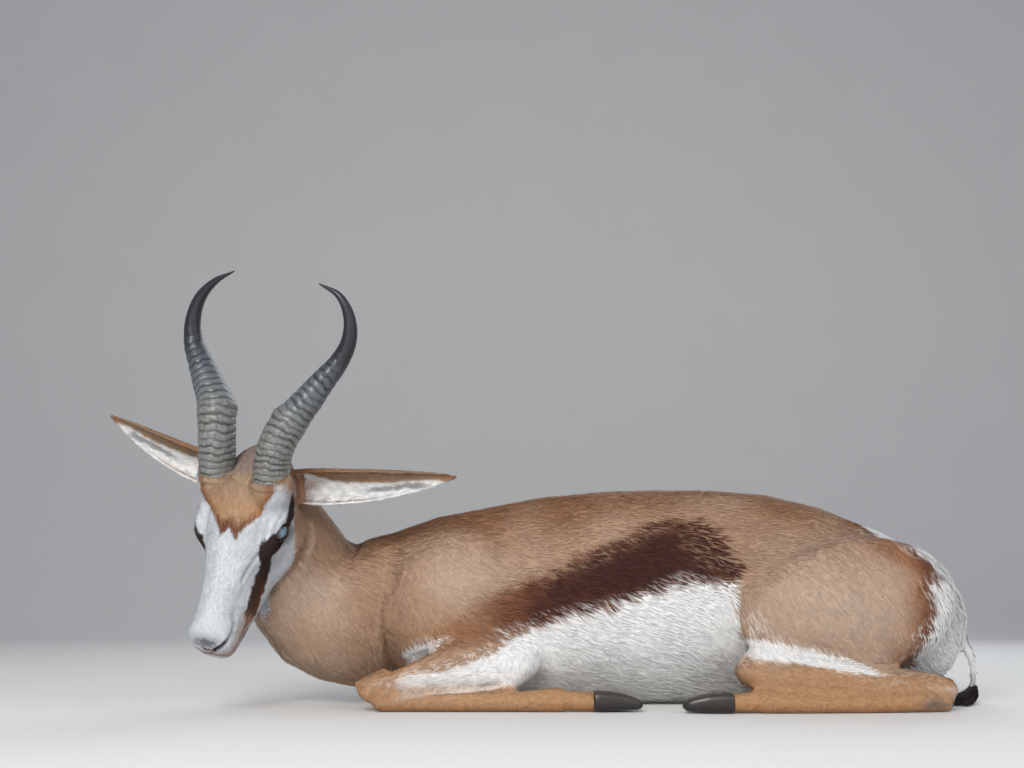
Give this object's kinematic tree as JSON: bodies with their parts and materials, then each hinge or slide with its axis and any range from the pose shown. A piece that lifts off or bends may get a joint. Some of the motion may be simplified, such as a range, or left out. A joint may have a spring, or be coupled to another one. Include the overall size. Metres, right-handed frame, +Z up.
{
  "type": "springbok model",
  "caption": "Life-size still model of a springbok ram lying with folded legs, its horned head lowered and turned aside.",
  "frame": {"origin": "on the floor, on the flat under the belly", "axes": "+X from the head towards the tail, +Y to the animal's right, +Z up from the floor"},
  "size_m": [1.1608, 0.3799, 0.5349],
  "materials": {
    "coat_tan": "short tan hair on hide",
    "coat_white": "short white hair on hide",
    "coat_orange": "short rust-tan hair on hide",
    "horn": "ringed dark horn, smooth at the tip",
    "hoof": "smooth dark horn",
    "eye": "polished dark eye"
  },
  "bodies": {
    "root": {"head": "coat_white", "eye_l": "eye", "eye_r": "eye", "ear_l": "coat_tan", "ear_r": "coat_tan", "horn_l": "horn", "horn_r": "horn", "neck": "coat_tan", "torso": "coat_tan", "tail": "coat_white", "fore_l_shoulder": "coat_tan", "fore_l_forearm": "coat_tan", "fore_l_cannon": "coat_orange", "fore_l_pastern": "coat_orange", "fore_l_claw_in": "hoof", "fore_l_claw_out": "hoof", "fore_r_shoulder": "coat_tan", "fore_r_forearm": "coat_tan", "fore_r_cannon": "coat_orange", "fore_r_pastern": "coat_orange", "fore_r_claw_in": "hoof", "fore_r_claw_out": "hoof", "hind_l_thigh": "coat_tan", "hind_l_gaskin": "coat_tan", "hind_l_cannon": "coat_orange", "hind_l_pastern": "coat_orange", "hind_l_claw_in": "hoof", "hind_l_claw_out": "hoof", "hind_r_thigh": "coat_tan", "hind_r_gaskin": "coat_tan", "hind_r_cannon": "coat_orange", "hind_r_pastern": "coat_orange", "hind_r_claw_in": "hoof", "hind_r_claw_out": "hoof"}
  },
  "joints": []
}
